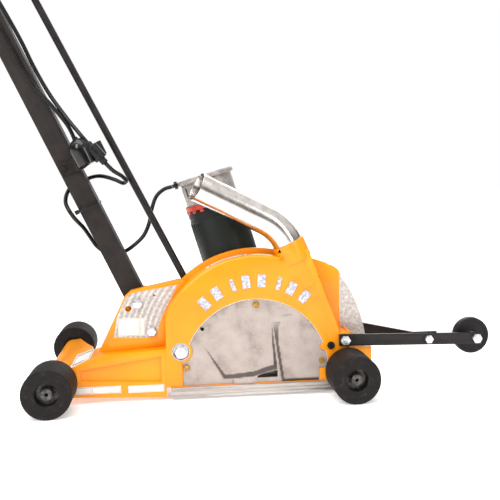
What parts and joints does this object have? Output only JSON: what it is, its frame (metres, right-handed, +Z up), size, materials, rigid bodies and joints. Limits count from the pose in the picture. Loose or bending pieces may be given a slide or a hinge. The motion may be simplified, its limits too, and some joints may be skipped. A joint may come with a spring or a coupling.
{
  "type": "walk-behind concrete saw",
  "caption": "Walk-behind early-entry concrete saw: cast frame on rollers, guarded plunging electric drive, vacuum outlet, front pointer and leaning push handle.",
  "frame": {"origin": "centre of the machine's footprint, on the ground under the rollers", "axes": "+X forward, in the cutting direction; +Y from the guard side to the motor side; +Z up"},
  "size_m": [1.0534, 0.4226, 0.983],
  "materials": {
    "yellow_paint": "glossy orange-yellow powder paint on cast aluminium",
    "milled_aluminium": "milled, bright",
    "cast_aluminium": "as cast, matt",
    "yellow_zinc": "yellow zinc plated",
    "black_steel": "black oxide",
    "plain_label": "plain vinyl",
    "stainless_tube": "polished stainless",
    "zinc_steel": "bright zinc plated",
    "axle_steel": "turned steel",
    "roller_rubber": "hard black rubber, scuffed",
    "bearing_steel": "ground steel",
    "black_powder": "fine-textured black powder coat",
    "grip_rubber": "soft black rubber",
    "black_plastic": "moulded",
    "strap_fabric": "woven black hook-and-loop strap",
    "red_plastic": "moulded",
    "cord_sheath": "smooth rubber sheath",
    "motor_plastic": "moulded glass-filled nylon",
    "blade_steel": "ground core, diamond rim"
  },
  "bodies": {
    "frame": {"guard_housing": "yellow_paint", "web_plate": "yellow_paint", "rear_frame": "yellow_paint", "handle_bracket_near": "yellow_paint", "handle_bracket_far": "yellow_paint", "front_beam": "yellow_paint", "skid_rail_near": "milled_aluminium", "skid_rail_far": "milled_aluminium", "blade_cover": "cast_aluminium", "cover_screws": "yellow_zinc", "web_screws": "black_steel", "raised_bars": "milled_aluminium", "label_plates": "plain_label", "vac_elbow": "stainless_tube", "vac_tube": "stainless_tube", "pivot_bolt": "zinc_steel", "rear_axle": "axle_steel", "front_axle": "axle_steel", "handle_tube": "black_powder", "handle_bolts": "zinc_steel", "handlebar": "black_powder", "grip_near": "grip_rubber", "grip_far": "grip_rubber", "switch_box": "black_plastic", "mains_inlet": "black_plastic", "lever_bolt": "zinc_steel", "cord_bracket": "strap_fabric", "cable_plug": "black_plastic", "cord_connector": "black_plastic", "zip_tie": "black_plastic", "switch_lead": "cord_sheath", "motor_lead": "cord_sheath", "pointer_pivots": "zinc_steel"},
    "wheel_rear_near_body": {"wheel_rear_near": "roller_rubber", "bearings_rear_near": "bearing_steel"},
    "wheel_rear_far_body": {"wheel_rear_far": "roller_rubber", "bearings_rear_far": "bearing_steel"},
    "wheel_front_near_body": {"wheel_front_near": "roller_rubber", "bearings_front_near": "bearing_steel"},
    "wheel_front_far_body": {"wheel_front_far": "roller_rubber", "bearings_front_far": "bearing_steel"},
    "drive_unit": {"carriage_plate": "milled_aluminium", "gear_head": "cast_aluminium", "gear_head_screws": "black_steel", "motor_housing": "motor_plastic", "motor_band": "red_plastic", "motor_adapter": "cast_aluminium", "motor_lid": "cast_aluminium", "cord_gland": "black_plastic"},
    "blade_set": {"spindle": "axle_steel", "blade_nut": "axle_steel", "blade": "blade_steel"},
    "lever": {"lift_lever": "black_powder", "lever_grip": "grip_rubber"},
    "rod": {"lift_rod": "black_powder"},
    "rocker": {"switch_rocker": "red_plastic"},
    "pointer": {"pointer_arm_near": "black_powder", "pointer_arm_far": "black_powder", "pointer_bolts": "zinc_steel"},
    "guide": {"guide_wheel": "roller_rubber"}
  },
  "joints": [
    {"name": "rear_near_roll", "type": "hinge", "parent": "frame", "child": "wheel_rear_near_body", "pos_m": [-0.23432, -0.13375, 0.04], "axis": [0, 1, 0], "continuous": true},
    {"name": "rear_far_roll", "type": "hinge", "parent": "frame", "child": "wheel_rear_far_body", "pos_m": [-0.23432, 0.17925, 0.04], "axis": [0, 1, 0], "continuous": true},
    {"name": "front_near_roll", "type": "hinge", "parent": "frame", "child": "wheel_front_near_body", "pos_m": [0.26268, -0.13375, 0.04], "axis": [0, 1, 0], "continuous": true},
    {"name": "front_far_roll", "type": "hinge", "parent": "frame", "child": "wheel_front_far_body", "pos_m": [0.26268, 0.17925, 0.04], "axis": [0, 1, 0], "continuous": true},
    {"name": "plunge", "type": "hinge", "parent": "frame", "child": "drive_unit", "pos_m": [-0.02332, -0.03575, 0.082], "axis": [0, 1, 0], "range_deg": [0, 22]},
    {"name": "blade_spin", "type": "hinge", "parent": "drive_unit", "child": "blade_set", "pos_m": [0.10368, -0.07175, 0.1205], "axis": [0, 1, 0], "continuous": true},
    {"name": "lever_swing", "type": "hinge", "parent": "frame", "child": "lever", "pos_m": [-0.41502, -0.03125, 0.86], "axis": [0, 1, 0], "range_deg": [0, 22]},
    {"name": "rod_swing", "type": "hinge", "parent": "lever", "child": "rod", "pos_m": [-0.38102, -0.03125, 0.928], "axis": [0, 1, 0], "range_deg": [-22, 0]},
    {"name": "pointer_fold", "type": "hinge", "parent": "frame", "child": "pointer", "pos_m": [0.25868, -0.09775, 0.092], "axis": [0, 1, 0], "range_deg": [-60, 13]},
    {"name": "guide_roll", "type": "hinge", "parent": "pointer", "child": "guide", "pos_m": [0.49468, -0.07175, 0.086], "axis": [0, 1, 0], "continuous": true},
    {"name": "rocker_switch", "type": "hinge", "parent": "frame", "child": "rocker", "pos_m": [-0.39027, -0.08875, 0.78564], "axis": [0.9041, 0, 0.4274], "range_deg": [-12, 0]}
  ],
  "couplings": [
    {"joint": "lever_swing", "follows": "plunge", "ratio": 1},
    {"joint": "rod_swing", "follows": "plunge", "ratio": -1}
  ]
}
